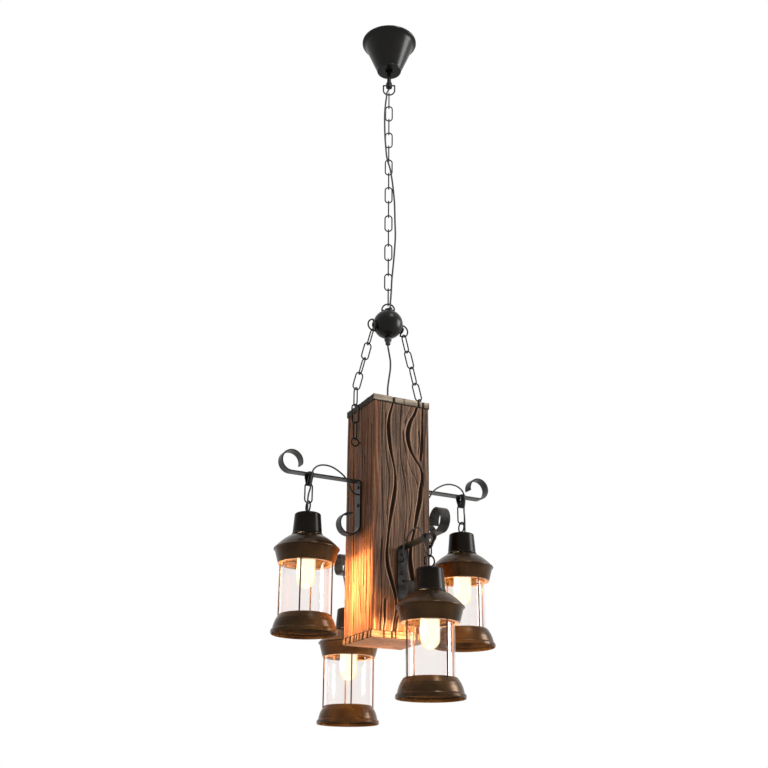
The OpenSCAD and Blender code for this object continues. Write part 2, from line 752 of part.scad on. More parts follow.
// Base with a ledge for the glass, and the four rods that carry it from the roof
module cage(p) {
    lip = base_d / 2;
    top = base_top_d / 2;
    seat = glass_d / 2 + seat_gap;
    outside = concat(
        [[lip - 1, 0], [lip, 1.5], [lip, 6], [lip - 1.2, 8], [lip - 3.2, 9.2]],
        [[lip - 4.2, 14], [lip - 5.8, 20], [lip - 8.2, 26], [lip - 11.5, 31.5]],
        [[top + 2, base_h - 1], [seat + 2 * sheet_t, base_h], [seat, base_h], [seat, glass_low_z]],
        [[glass_d / 2 - glass_wall - 1.5, glass_low_z]]
    );
    foot_z = 24;
    nut_z = roof_low_z + sheet_t + seat_gap;
    color([0.12, 0.1, 0.09]) at_lantern(p) {
        spun(outside, sheet_t);
        rods_at(p) {
            translate([0, 0, foot_z]) cylinder(d = rod_d, h = nut_z + 5 - foot_z);
            translate([0, 0, nut_z]) cylinder(d = rod_d * 1.5, h = 2.5);
        }
    }
}

// Bulb with its glass below the screw cap
module bulb(p) {
    r = bulb_d / 2;
    cap_r = bulb_cap_d / 2;
    cap_z = holder_low_z + 2;
    low = cap_z - bulb_l;
    wall = 1;
    outside = concat(
        arc([0, low + r], r, -88, 0, 8),
        [[r, cap_z - 26], [r - 1.5, cap_z - 16], [cap_r - 1.2, cap_z - 5], [cap_r - 1.2, cap_z + 6]]
    );
    color([1, 0.85, 0.55]) at_lantern(p) {
        spun(outside, wall);
        translate([0, 0, cap_z]) difference() {
            cylinder(r = cap_r, h = bulb_cap_l);
            translate([0, 0, -1]) cylinder(r = cap_r - 1, h = bulb_cap_l - 1);
        }
    }
}

canopy();
ceiling_bracket();
bracket_nuts();
stem();
canopy_nut();
ceiling_terminal();
ceiling_loop();
main_chain();
main_cable();
ball();
ball_loops();
ball_nuts();
ball_gland();
drop_cable();
side_chains();
post_eyes();
left_board();
right_board();
front_board();
back_board();
top_board();
bottom_board();
post_terminal();
left_arm();
right_arm();
front_arm();
back_arm();
arm_screws();
hangers();
lantern_cables();
lantern_link(LEFT);  // left_link
neck(LEFT);  // left_neck
roof(LEFT);  // left_roof
holder(LEFT);  // left_holder
glass(LEFT);  // left_glass
cage(LEFT);  // left_cage
bulb(LEFT);  // left_bulb
lantern_link(RIGHT);  // right_link
neck(RIGHT);  // right_neck
roof(RIGHT);  // right_roof
holder(RIGHT);  // right_holder
glass(RIGHT);  // right_glass
cage(RIGHT);  // right_cage
bulb(RIGHT);  // right_bulb
lantern_link(FRONT);  // front_link
neck(FRONT);  // front_neck
roof(FRONT);  // front_roof
holder(FRONT);  // front_holder
glass(FRONT);  // front_glass
cage(FRONT);  // front_cage
bulb(FRONT);  // front_bulb
lantern_link(BACK);  // back_link
neck(BACK);  // back_neck
roof(BACK);  // back_roof
holder(BACK);  // back_holder
glass(BACK);  // back_glass
cage(BACK);  // back_cage
bulb(BACK);  // back_bulb
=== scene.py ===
"""Looks of the lantern chandelier: cables, carved boards, finishes and lamps round the CAD's nodes."""

import json

import bpy
import numpy as np
from mathutils import Matrix, Vector


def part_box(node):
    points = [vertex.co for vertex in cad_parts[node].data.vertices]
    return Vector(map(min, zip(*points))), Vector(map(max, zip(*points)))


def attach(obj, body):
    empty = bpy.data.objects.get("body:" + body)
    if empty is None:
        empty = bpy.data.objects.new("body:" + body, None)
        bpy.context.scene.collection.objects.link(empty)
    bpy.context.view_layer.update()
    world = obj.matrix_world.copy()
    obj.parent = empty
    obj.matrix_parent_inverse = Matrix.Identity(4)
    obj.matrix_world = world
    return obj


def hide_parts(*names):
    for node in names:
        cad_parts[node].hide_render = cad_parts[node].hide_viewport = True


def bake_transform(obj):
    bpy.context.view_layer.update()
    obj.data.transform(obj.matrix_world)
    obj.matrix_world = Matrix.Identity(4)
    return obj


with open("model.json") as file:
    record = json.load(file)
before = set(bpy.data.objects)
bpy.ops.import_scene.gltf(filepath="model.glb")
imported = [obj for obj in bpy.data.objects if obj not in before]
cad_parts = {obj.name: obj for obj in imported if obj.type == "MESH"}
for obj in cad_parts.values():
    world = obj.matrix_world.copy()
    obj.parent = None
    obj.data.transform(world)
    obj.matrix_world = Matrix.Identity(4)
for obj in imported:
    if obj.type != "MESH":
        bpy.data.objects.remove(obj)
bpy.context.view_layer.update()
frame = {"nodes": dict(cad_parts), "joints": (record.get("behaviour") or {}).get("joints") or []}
SIDES = ("left", "right", "front", "back")
TURN = {"left": 180, "right": 0, "front": 270, "back": 90}

# Places on the model in metres, read from the CAD's boxes. The bars of the arms lie below the post's top
POST_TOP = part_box("top_board")[1].z
POST_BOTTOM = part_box("bottom_board")[0].z
side_low, side_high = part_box("left_board")
POST_HALF, BOARD_TOP, BOARD_BOTTOM = side_high.y, side_high.z, side_low.z
BOARD_T = side_high.x - side_low.x
BALL_Z = (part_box("ball")[0].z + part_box("ball")[1].z) / 2
BAR_BELOW_TOP = {"left": 0.174, "right": 0.174, "front": 0.320, "back": 0.320}
BAR_Z = {side: POST_TOP - below for side, below in BAR_BELOW_TOP.items()}

# The camera fitted to the photograph: focal length and picture width in pixels, turns in degrees and its
# place in metres
FOCAL_PX, PHOTO_PX, SENSOR_MM = 1085.15, 768, 36
YAW, PITCH, ROLL = 26.577, 22.015, 0.322
CAMERA_PLACE = (-0.9877, -1.9559, -1.8033)


def make_camera():
    """The fitted camera: right = (cos yaw, -sin yaw, 0), ahead = (sin yaw cos pitch, cos yaw cos pitch,
    sin pitch) and up = right x ahead. Right and up are then turned by the small roll about ahead."""
    yaw, pitch, roll = np.radians([YAW, PITCH, ROLL])
    right = np.array([np.cos(yaw), -np.sin(yaw), 0])
    ahead = np.array([np.sin(yaw) * np.cos(pitch), np.cos(yaw) * np.cos(pitch), np.sin(pitch)])
    up = np.cross(right, ahead)
    right, up = np.cos(roll) * right + np.sin(roll) * up, np.cos(roll) * up - np.sin(roll) * right
    data = bpy.data.cameras.new("Camera")
    data.sensor_width = SENSOR_MM
    data.lens = SENSOR_MM * FOCAL_PX / PHOTO_PX
    data.clip_start, data.clip_end = 0.01, 60
    camera = bpy.data.objects.new("Camera", data)
    bpy.context.scene.collection.objects.link(camera)
    camera.matrix_world = (Matrix.Translation(CAMERA_PLACE)
                           @ Matrix(np.stack([right, up, -ahead], 1)).to_4x4())
    bpy.context.scene.camera = camera


# Meshes

def add_mesh(name, points, face_groups, body=None):
    """New smooth mesh from an array of points and several arrays of faces, riding body if one is given."""
    mesh = bpy.data.meshes.new(name)
    mesh.from_pydata(points.reshape(-1, 3).tolist(), [], sum((group.tolist() for group in face_groups), []))
    mesh.shade_smooth()
    mesh.validate()
    obj = bpy.data.objects.new(name, mesh)
    bpy.context.scene.collection.objects.link(obj)
    if body:
        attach(obj, body)
    return obj


def keep_attribute(obj, name, values):
    """Keeps one number a point for a material to read."""
    attribute = obj.data.attributes.new(name, "FLOAT", "POINT")
    attribute.data.foreach_set("value", np.asarray(values, np.float32).ravel())


def grid_faces(rows, columns, loop_rows=False):
    """Quads (i, j), (i, j + 1), (i + 1, j + 1), (i + 1, j) of a grid whose columns close into a ring;
    loop_rows also joins its last row to its first."""
    i, j = np.mgrid[0:rows if loop_rows else rows - 1, 0:columns]
    here, above, across = i * columns, (i + 1) % rows * columns, (j + 1) % columns
    return np.stack([here + j, here + across, above + across, above + j], -1).reshape(-1, 4)


def end_caps(rows, columns):
    """Flat faces that close the first and the last ring of a grid."""
    ring = np.arange(columns)[None]
    return [ring[:, ::-1], ring + (rows - 1) * columns]


CURVE_STEPS = 16  # points worked out on each span of a curve


def smooth_path(points, step):
    """Evenly spaced points on a centripetal Catmull-Rom curve. Its knots t are the running sums of the
    square roots of the distances, and each span is three rounds of straight blends between four points."""
    p = np.asarray(points, float)
    p = np.vstack([2 * p[0] - p[1], p, 2 * p[-1] - p[-2]])
    knots = np.concatenate([[0], np.cumsum(np.linalg.norm(np.diff(p, axis=0), axis=1) ** 0.5)])
    a, b, c, d = (p[k:len(p) - 3 + k, None] for k in range(4))
    t0, t1, t2, t3 = (knots[k:len(p) - 3 + k, None, None] for k in range(4))
    t = t1 + (t2 - t1) * np.linspace(0, 1, CURVE_STEPS, endpoint=False)[None, :, None]

    def mix(first, second, low, high):
        return ((high - t) * first + (t - low) * second) / (high - low)

    ab, bc, cd = mix(a, b, t0, t1), mix(b, c, t1, t2), mix(c, d, t2, t3)
    curve = mix(mix(ab, bc, t0, t2), mix(bc, cd, t1, t3), t1, t2)
    curve = np.vstack([curve.reshape(-1, p.shape[1]), p[-2]])
    run = np.concatenate([[0], np.cumsum(np.linalg.norm(np.diff(curve, axis=0), axis=1))])
    even = np.linspace(0, run[-1], int(round(run[-1] / step)) + 1)
    return np.stack([np.interp(even, run, axis) for axis in curve.T], 1)


def tube(name, path, radius, across, sides=14):
    """Round tube, closed at both ends: ring = path + radius (cos a u + sin a v). There t is the path's
    direction, u is across made square to t, and v = t x u."""
    t = np.gradient(path, axis=0)
    t /= np.linalg.norm(t, axis=1, keepdims=True)
    u = across - t * (t @ across)[:, None]
    u /= np.linalg.norm(u, axis=1, keepdims=True)
    v = np.cross(t, u)
    a = np.linspace(0, 2 * np.pi, sides, endpoint=False)[None, :, None]
    points = path[:, None] + radius * (np.cos(a) * u[:, None] + np.sin(a) * v[:, None])
    return add_mesh(name, points, [grid_faces(len(path), sides), *end_caps(len(path), sides)])


def turn_matrix(degrees):
    """Turn about Z."""
    a = np.radians(degrees)
    return np.array([[np.cos(a), -np.sin(a), 0], [np.sin(a), np.cos(a), 0], [0, 0, 1]])


def turned(points, degrees, up=0.0):
    """Points in millimetres turned about Z and raised by up metres, in metres."""
    return np.asarray(points, float) / 1000 @ turn_matrix(degrees).T + (0, 0, up)


# Cables. The routes repeat part.scad's, in millimetres. The main one is above the ball's middle and the drop
# one above the post's top. A lantern's is out along its arm, beside the arm, and above the arm's bar

MAIN_ROUTE = [
    (0, 0, 645), (0, 0, 636), (-2, -2, 629), (-5, -5, 621), (-6, -6, 608), (-8, -6, 590),
    (-10, -5, 560), (-10, -5, 526), (-9, -5, 492), (-7, -5, 462), (-5, -6, 438), (-2, -7, 422),
    (3, -7, 404), (7, -6, 380), (11, -5, 346), (14, -5, 306), (15, -5, 262), (16, -5, 222),
    (14, -5, 182), (11, -5, 142), (8, -5, 106), (7, -6, 80), (6, -9, 62), (5, -12, 46), (5, -12, 28)]
DROP_ROUTE = [
    (0, 0, 158), (0, 0, 146), (3, 0, 129), (6, 0, 112), (6, 0, 92), (3, 0, 70),
    (0, 0, 46), (0, 0, 18), (0, 0, -10)]
LANTERN_ROUTE = [
    (46, 0, -29), (69, 0, -29), (82, 4, -27), (93, 12, -17), (101, 14, -4), (115, 14, 8),
    (138, 14, 18), (160, 14, 17), (174, 15, 7), (179, 15, -10)]
TAIL = [(179, 11, -32), (182, 8, -50), (182, 8, -89)]
BUNCHED_TAIL = [(181, 13, -24), (182.3, 9, -42), (182, 8, -56), (182, 8, -70)]
CHAIN_TURN = -27  # degrees the main chain and its cable are turned about Z
ROUTE_STEP, LANTERN_STEP = 3, 2.5  # mm between a cable's rings
CABLE_R, LANTERN_CABLE_R = 0.002, 0.0017

# Heights in metres on the axis, given to a stretch as its marks
MAIN_UPPER_BEND = (-0.138, -0.180)
MAIN_LOWER_BEND = (BALL_Z + 0.072, BALL_Z + 0.036)
DROP_BEND = (BALL_Z - 0.054, POST_TOP + 0.010)
# A lantern's upper stretch is given these two points of its route as marks. It ends this far above the
# lantern's pivot, out past the arm's rise
LANTERN_BEND = [(160, 0, 10), (184, 0, -26)]
ABOVE_PIVOT, PAST_RISE_MM = 0.003, 150


def cable_piece(name, path, radius, across, node, bodies, marks=None):
    """One stretch of cable. With marks it is fixed where it lies and rides no body. Without them it rides
    its only body."""
    obj = tube(name, path, radius, across)
    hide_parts(node)
    obj.data.materials.append(MATERIALS["cable"])
    if marks is None:
        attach(obj, *bodies)
    else:
        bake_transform(obj)


def on_axis(heights):
    """Points on the object's axis at two heights."""
    return [(0, 0, height) for height in heights]


def make_cables():
    """The main cable, the drop cable and the four lantern cables."""
    flat = np.array([0.2, 1.0, 0.0])
    path = turned(smooth_path(MAIN_ROUTE, ROUTE_STEP), CHAIN_TURN, BALL_Z)
    half = len(path) // 2
    cable_piece("main_cable_upper", path[:half + 1], CABLE_R, flat, "main_cable",
                ("ceiling_mount", "chain"), on_axis(MAIN_UPPER_BEND))
    cable_piece("main_cable_lower", path[half:], CABLE_R, flat, "main_cable",
                ("chain", "ball"), on_axis(MAIN_LOWER_BEND))
    path = turned(smooth_path(DROP_ROUTE, ROUTE_STEP), 0, POST_TOP)
    cable_piece("drop_cable_run", path, CABLE_R, flat, "drop_cable", ("ball", "post"), on_axis(DROP_BEND))
    pivots = {joint["name"]: joint["pos_m"][2] for joint in frame["joints"] if joint["type"] == "hinge"}
    for side in SIDES:
        route = smooth_path(LANTERN_ROUTE + (BUNCHED_TAIL if side == "front" else TAIL), LANTERN_STEP)
        mirror = (1, -1 if side in ("right", "front") else 1, 1)
        path = turned(route * mirror, TURN[side], BAR_Z[side])
        below = path[:, 2] < pivots[side + "_lantern_swing"] + ABOVE_PIVOT
        cut = int(np.argmax(below & (route[:, 0] > PAST_RISE_MM)))
        marks = turned(LANTERN_BEND, TURN[side], BAR_Z[side])
        across = turn_matrix(TURN[side]) @ (0.0, 1.0, 0.0)
        cable_piece(side + "_cable_upper", path[:cut + 1], LANTERN_CABLE_R, across, "lantern_cables",
                    ("post", side + "_link"), marks)
        cable_piece(side + "_cable_lower", path[cut:], LANTERN_CABLE_R, across, "lantern_cables",
                    (side + "_lantern",))


# Timber. A carved groove is a line down a face, as (distance below the post's top, place across), then its
# half width and its depth, all in mm

FRONT_GROOVES = [
    ([(0, -18), (20, -22), (38, -27), (58, -30), (90, -29), (119, -25), (144, -19), (166, -15), (199, -15),
      (221, -18), (243, -22), (275, -27), (308, -31), (333, -33), (358, -31), (393, -21), (417, -14),
      (440, -12), (465, -15), (490, -19), (500, -22)], 2.6, 4.2),
    ([(0, 40), (28, 32), (49, 21), (75, 15), (98, 17), (115, 23), (131, 33), (146, 44), (168, 48),
      (191, 45), (218, 42), (246, 36), (282, 29), (297, 25), (340, 19), (378, 24), (420, 33), (460, 36),
      (500, 34)], 3.0, 4.6),
    ([(0, 51), (24, 50), (47, 49), (76, 49), (108, 47), (136, 44)], 2.2, 3.2),
    ([(60, 40), (89, 42), (109, 40), (122, 37)], 1.5, 1.8),
    ([(66, 3), (91, 5), (121, 11), (139, 16), (155, 22), (174, 33), (190, 38)], 1.5, 1.6),
    ([(30, -37), (89, -37), (120, -36), (145, -33), (168, -29), (199, -29), (235, -32), (262, -35)],
     1.4, 1.5),
    ([(5, 0), (60, -3), (130, -2), (190, 8), (240, 12), (300, 6), (345, 8), (380, 4)], 1.3, 1.3),
    ([(140, 2), (190, 20), (236, 22), (270, 16)], 1.2, 1.2),
    ([(300, 12), (346, 14), (378, 19), (396, 24)], 1.6, 1.8),
    ([(420, -36), (446, -37), (467, -37), (486, -39)], 2.0, 2.6),
    ([(436, -2), (449, -6), (465, -10), (484, -13)], 1.8, 2.4),
    ([(300, -44), (360, -46), (430, -44), (486, -47)], 1.6, 1.6),
    ([(10, -45), (110, -46), (210, -44), (290, -41)], 1.5, 1.3),
    ([(430, 12), (455, 16), (475, 14), (486, 18)], 1.6, 1.8),
    ([(10, 26), (40, 12), (60, 6)], 1.3, 1.2)]
SIDE_GROOVES = [
    ([(4, 41), (60, 38), (140, 33), (238, 30), (334, 25), (420, 20), (486, 22)], 2.4, 2.8),
    ([(20, -6), (64, -9), (92, -8), (140, -12), (200, -10)], 1.6, 1.6),
    ([(120, -22), (150, -24), (220, -26), (303, -25), (360, -22), (400, -24)], 2.2, 2.6),
    ([(60, -52), (100, -54), (165, -54), (230, -50), (300, -52), (380, -54), (486, -51)], 2.0, 2.4),
    ([(320, 8), (338, 6), (379, 0), (421, -10), (471, -17), (486, -18)], 2.0, 2.4),
    ([(290, -38), (306, -37), (366, -37), (425, -36), (479, -33)], 2.0, 2.4),
    ([(4, 55), (120, 57), (260, 54), (400, 57), (486, 55)], 1.6, 1.6),
    ([(10, 14), (90, 17), (180, 12), (260, 15), (330, 11)], 1.5, 1.5),
    ([(360, 42), (400, 38), (440, 40), (486, 36)], 1.7, 1.9),
    ([(40, -38), (100, -36), (160, -39), (240, -38)], 1.4, 1.3)]
FADE_MM = 10  # over which a groove's end fades out
OPEN_TOP_MM, OPEN_FOOT_MM = 5, 484  # a groove that starts above the one or ends below the other stays open
CARVE_FULL, GRAIN_FULL = 0.004, 0.0006  # depths that the materials read as 1

# Roundings and dents of the boards, in metres
FACE_ROUND, END_ROUND, EDGE_ROUND = 0.0013, 0.0012, 0.0015
SKIN = 0.0005  # how far the face between the grooves lies below a lip
BORE = 0.0024  # radius of the cable's hole in the end boards
SEAM_HALF, SEAM_DEEP, SEAM_DARK = 0.0013, 0.0012, 0.003


def smooth_line(high, place, down):
    """Cubic Hermite curve through the points (high, place), with its slopes from their neighbours."""
    slope = np.gradient(place, high)
    k = np.clip(np.searchsorted(high, down) - 1, 0, len(high) - 2)
    h = high[k + 1] - high[k]
    t = np.clip((down - high[k]) / h, 0, 1)
    return ((2 * t ** 3 - 3 * t ** 2 + 1) * place[k] + (t ** 3 - 2 * t ** 2 + t) * h * slope[k]
            + (3 * t ** 2 - 2 * t ** 3) * place[k + 1] + (t ** 3 - t ** 2) * h * slope[k + 1])


def carving(across, down, grooves, flip):
    """Depth of the grooves, and how far each point is up a groove's raised lip, from 0 to 1. With t the
    distance from the groove's line over its half width, the depth is deep exp(-t^2.4) and the lip is
    exp(-((t - 1.6) / 0.42)^2). The width and depth swing by a quarter along the line, and both the depth
    and the lip fade out at its ends."""
    depth, lip = np.zeros_like(across), np.zeros_like(across)
    for line, width, deep in grooves:
        high, place = np.array(line, float).T
        fade = np.clip((down - high[0]) / FADE_MM + (high[0] <= OPEN_TOP_MM), 0, 1)
        fade = fade * np.clip((high[-1] - down) / FADE_MM + (high[-1] >= OPEN_FOOT_MM), 0, 1)
        swing = 1 + 0.25 * np.sin(down / 23.0 + high[0] + deep)
        t = np.abs(across - smooth_line(high, place * flip, down)) / (width * swing)
        depth = np.maximum(depth, deep * swing * fade * np.exp(-t ** 2.4))
        lip = np.maximum(lip, fade * min(deep / 3.5, 1) * np.exp(-((t - 1.6) / 0.42) ** 2))
    return depth / 1000, lip * np.clip(1 - depth / 0.8, 0, 1)


def grain_depth(across, down, seed):
    """Brushed grain: a sum of four squared sines across the board, (spacing, depth) in mm, each wandering
    slowly along it."""
    flow = across + 3.0 * np.sin(down / 61.0 + seed) + 1.6 * np.sin(down / 27.0 + across / 19.0 + 2 * seed)
    total = np.zeros_like(flow)
    for k, (step, size) in enumerate([(13.0, 0.35), (7.3, 0.28), (4.1, 0.16), (2.6, 0.10)]):
        phase = (seed * (k + 1.7) + 2.1 * np.sin(flow / (3.1 * step) + k)
                 + 0.8 * np.sin(down / (90.0 - 11 * k) + seed))
        total += size * (0.5 + 0.5 * np.sin(2 * np.pi * flow / step + phase)) ** 2
    return total / 1000


def arris(distance, radius):
    """Depth below a face near its rounded edge: radius (1 - sqrt(1 - d^2)), d = 1 - distance / radius."""
    d = np.clip(1 - distance / radius, 0, 1)
    return radius * (1 - np.sqrt(1 - d * d))


def face_steps(half, step):
    """Places across a face from -half to half, closer together at its edges."""
    edge = np.array([0, 0.0002, 0.0005, 0.0009, 0.0014, 0.002])
    middle = np.linspace(-half + 0.003, half - 0.003, int(2 * half / step))
    return np.concatenate([-half + edge, middle, (half - edge)[::-1]])


def long_board(side, half, grooves, flip, seed, finish):
    """One of the post's long boards. Each ring of the grid goes round the board's section: the outer face,
    one edge, the back and the other edge. The rings climb the board. The outer face is pressed in by its
    grooves and grain, and the wide boards' edges, which show at the post's corners, by grain alone."""
    across = face_steps(half, 0.001)
    deep = np.linspace(0.0013, BOARD_T, 12)
    back = np.linspace(half, -half, 20)[1:-1]
    n, m = len(across), len(deep)
    x = POST_HALF - np.concatenate([0 * across, deep, 0 * back + BOARD_T, deep[::-1]])
    y = np.concatenate([across, 0 * deep + half, back, 0 * deep - half])
    tall = BOARD_TOP - BOARD_BOTTOM
    near = np.array([0, 0.0004, 0.001, 0.002])
    rows = np.concatenate([near, np.arange(0.004, tall - 0.003, 0.0025), tall - near[::-1]])
    z = (BOARD_BOTTOM + rows)[:, None]
    down = (POST_TOP - z) * 1000
    end = arris(np.minimum(rows, rows[::-1])[:, None], END_ROUND)
    px, py = x + 0 * z, y + 0 * z
    carve, lip, grain = np.zeros_like(px), np.zeros_like(px), np.zeros_like(px)
    face = across[None] * 1000 + 0 * down
    carve[:, :n], lip[:, :n] = carving(face, down, grooves, flip)
    grain[:, :n] = grain_depth(face, down, seed) * (1 - lip[:, :n])
    px[:, :n] -= (carve[:, :n] + SKIN * (1 - lip[:, :n]) + grain[:, :n]
                  + arris(half - np.abs(across)[None], FACE_ROUND) + end)
    if half == POST_HALF:
        grain[:, n:n + m] = 1.2 * grain_depth(deep[None] * 1000 + 0 * down, down, seed + 3.1)
        grain[:, -m:] = grain[:, n:n + m][:, ::-1]
        py[:, n:n + m] -= grain[:, n:n + m] + end
        py[:, -m:] += grain[:, -m:] + end
    points = np.stack([px, py, z + 0 * px], 2) @ turn_matrix(TURN[side]).T
    count = px.shape[1]
    faces = [grid_faces(len(rows), count), *end_caps(len(rows), count)]
    obj = add_mesh(side + "_plank", points, faces, "post")
    keep_attribute(obj, "carve", carve / CARVE_FULL)
    keep_attribute(obj, "lip", lip)
    keep_attribute(obj, "grain", grain / GRAIN_FULL)
    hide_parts(side + "_board")
    obj.data.materials.append(MATERIALS[finish])


def end_plank(name, low, high, notches, teeth, seed, shaded_side, seam):
    """The top or bottom board, a square round the cable's hole. Its rings go out along the underside, up
    the weathered edge and back in along the top, and the last joins the first down the hole. Side k of a
    ring is its first side (s, -half) turned by k quarter turns. Notches, as (side, place, half width,
    depth), are dents exp(-(|s - at| / width)^2.6). Teeth, as (side, spacing, depth), are cubed sine waves.
    Layers are faint lines along the edge, and the edge of one chosen side, -1 for none, is darker all over
    with painted shade. The seam is a dark hollow exp(-(d / SEAM_HALF)^2) at the distance d from the row
    where the long boards meet this one, at seam of its height."""
    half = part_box("top_board")[1].x
    t = face_steps(half, 0.001)[:-1]
    face, s = np.repeat(np.arange(4), len(t)), np.tile(t, 4)
    a = face * np.pi / 2
    normal = np.stack([np.sin(a), -np.cos(a)], 1)
    loop = np.stack([np.cos(a), np.sin(a)], 1) * s[:, None] + normal * half
    along = np.where(face < 2, s, -s)[None] * 1000
    edge = half - np.abs(s)[None]
    near = np.array([0, 0.0004, 0.001])
    tall = high - low
    rows = np.concatenate([near, np.linspace(0.002, tall - 0.002, 8), tall - near[::-1]])[:, None]
    layers = 0.5 + 0.5 * np.sin(rows * 1550 + 0.6 * np.sin(along / 17.0 + seed) + seed + face)
    cut = 0.0007 * layers ** 2 + 0.0005 * (0.5 + 0.5 * np.sin(along / 6.1 + 2 * np.sin(along / 17 + seed)))
    cut = cut + 0.9 * arris(edge, EDGE_ROUND) + 0.5 * arris(np.minimum(rows, rows[::-1]), END_ROUND)
    # Painted shade: the chosen side's whole edge is darkened
    carve = 0.4 * cut + 0.0016 * (face == shaded_side)
    for which, at, width, deep in notches:
        dent = deep / 1000 * np.exp(-(np.abs(along - at) / width) ** 2.6) * (face == which)
        cut, carve = np.maximum(cut, dent), np.maximum(carve, dent)
    for which, step, deep in teeth:
        wave = 0.5 + 0.5 * np.sin(2 * np.pi * along / step + 1.7 * np.sin(along / 11.0) + rows * 90)
        dent = deep / 1000 * wave ** 3 * (face == which) * np.clip(edge / 0.006, 0, 1)
        cut, carve = cut + dent, carve + dent
    hollow = np.exp(-((rows - seam * tall) / SEAM_HALF) ** 2)
    cut, carve = cut + SEAM_DEEP * hollow, carve + SEAM_DARK * hollow
    wall = loop - normal * cut[:, :, None]
    way = np.arctan2(loop[:, 1], loop[:, 0])
    hole = BORE * np.stack([np.cos(way), np.sin(way)], 1)
    spread = np.array([0, 0.12, 0.3, 0.5, 0.7, 0.86, 0.95, 0.985])[:, None, None]
    under = hole * (1 - spread) + wall[:1] * spread
    over = (hole * (1 - spread) + wall[-1:] * spread)[::-1]
    rings = np.concatenate([under, wall, over])
    level = np.concatenate([np.full(len(under), low), low + rows[:, 0], np.full(len(over), high)])
    points = np.concatenate([rings, np.broadcast_to(level[:, None, None], (*rings.shape[:2], 1))], 2)
    flat = np.zeros((len(under), len(loop)))
    obj = add_mesh(name + "_plank", points, [grid_faces(len(rings), len(loop), True)], "post")
    keep_attribute(obj, "carve", np.concatenate([flat, carve, flat]) / CARVE_FULL)
    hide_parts(name + "_board")
    obj.data.materials.append(MATERIALS[name + "_timber"])


TOP_NOTCHES = [
    (0, -19, 2.6, 3.6), (0, 40, 2.6, 3.6), (0, 51, 2.4, 3.4), (0, 5, 1.6, 1.6), (3, -20, 2.0, 2.0),
    (3, 30, 2.0, 2.4), (2, -35, 2.4, 3.0), (2, 18, 2.4, 3.4), (1, -12, 2.0, 2.4), (1, 38, 2.0, 2.4)]
BOTTOM_NOTCHES = [
    (0, -39, 2.0, 2.6), (0, -22, 2.2, 2.8), (0, -14, 1.8, 2.2), (0, 33, 2.6, 3.0), (2, 20, 2.2, 2.6)]


def make_timber():
    """The post's six boards. The right and back ones repeat the left and front ones' grooves, mirrored."""
    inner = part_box("front_board")[1].x
    long_board("front", inner, FRONT_GROOVES, flip=1, seed=0.7, finish="taupe_timber")
    long_board("back", inner, FRONT_GROOVES, flip=-1, seed=2.9, finish="taupe_timber")
    # The left board's finish is a copy of the taupe timber with the lanterns' warm light painted into its
    # tones
    long_board("left", POST_HALF, SIDE_GROOVES, flip=-1, seed=4.4, finish="russet_lamplit_timber")
    long_board("right", POST_HALF, SIDE_GROOVES, flip=1, seed=6.2, finish="taupe_timber")
    # The top board's left edge is darkened all over with painted shade
    end_plank("top", BOARD_TOP, POST_TOP, TOP_NOTCHES, teeth=[(3, 21, 0.8)], seed=1.3, shaded_side=3, seam=0)
    end_plank("bottom", POST_BOTTOM, BOARD_BOTTOM, BOTTOM_NOTCHES, teeth=[(3, 15.5, 3.4), (1, 14, 1.8)],
              seed=5.1, shaded_side=-1, seam=1)


# Materials

class Socket:
    """One output of a shader node. Arithmetic on it adds the Math nodes that it needs, in the same tree."""

    def __init__(self, out):
        self.out = out

    def node(self, kind, settings, sockets, out=0):
        """A node of that kind. Its settings go in first, then a value or a link for each named socket."""
        tree = self.out.id_data
        made = tree.nodes.new("ShaderNode" + kind)
        for name, value in settings.items():
            setattr(made, name, value)
        for name, value in sockets.items():
            if isinstance(value, Socket):
                tree.links.new(value.out, made.inputs[name])
            else:
                made.inputs[name].default_value = value
        return Socket(made.outputs[out])

    def output(self, name):
        """Another output of the same node."""
        return Socket(self.out.node.outputs[name])

    def math(self, operation, first, second=0.0):
        """One Math node with two inputs."""
        return self.node("Math", {"operation": operation}, {0: first, 1: second})

    def __add__(self, other):
        return self.math("ADD", self, other)

    def __sub__(self, other):
        return self.math("SUBTRACT", self, other)

    def __rsub__(self, other):
        return self.math("SUBTRACT", other, self)

    def __mul__(self, other):
        return self.math("MULTIPLY", self, other)

    def __pow__(self, other):
        return self.math("POWER", self, other)

    def __rpow__(self, other):
        return self.math("POWER", other, self)

    __radd__, __rmul__ = __add__, __mul__

    def most(self, other):
        """The greater of two."""
        return self.math("MAXIMUM", self, other)

    def band(self, low, high):
        """0 below low and 1 above high, smooth between them."""
        return self.node("MapRange", {"interpolation_type": "SMOOTHSTEP"},
                         {"Value": self, "From Min": low, "From Max": high})

    def scaled(self, x, y, z):
        """A place with its three parts multiplied."""
        return self.node("VectorMath", {"operation": "MULTIPLY"}, {0: self, 1: (x, y, z)})

    def noise(self, scale, detail=3.0, rough=0.55, twist=0.0):
        """Noise at this place, with scale lumps a metre."""
        return self.node("TexNoise", {}, {"Vector": self, "Scale": scale, "Detail": detail,
                                          "Roughness": rough, "Distortion": twist})

    def tint(self, first, second):
        """The colour first where this is 0 and second where it is 1."""
        first, second = (c if isinstance(c, Socket) else (*c, 1) for c in (first, second))
        return self.node("Mix", {"data_type": "RGBA"}, {0: self, 6: first, 7: second}, 2)


MATERIALS = {}


def shade(colour, factor):
    """A colour made darker or lighter."""
    return tuple(min(factor * part, 1) for part in colour)


def start(name):
    """New material: its principled shader and the place on the piece."""
    material = bpy.data.materials.new(name)
    material.use_nodes = True
    MATERIALS[name] = material
    shader = material.node_tree.nodes["Principled BSDF"]
    return shader, Socket(shader.outputs[0]).node("TexCoord", {}, {}, "Object")


def show(cover):
    """Makes a mix of shaders the material's surface."""
    tree = cover.out.id_data
    tree.links.new(cover.out, tree.nodes["Material Output"].inputs["Surface"])


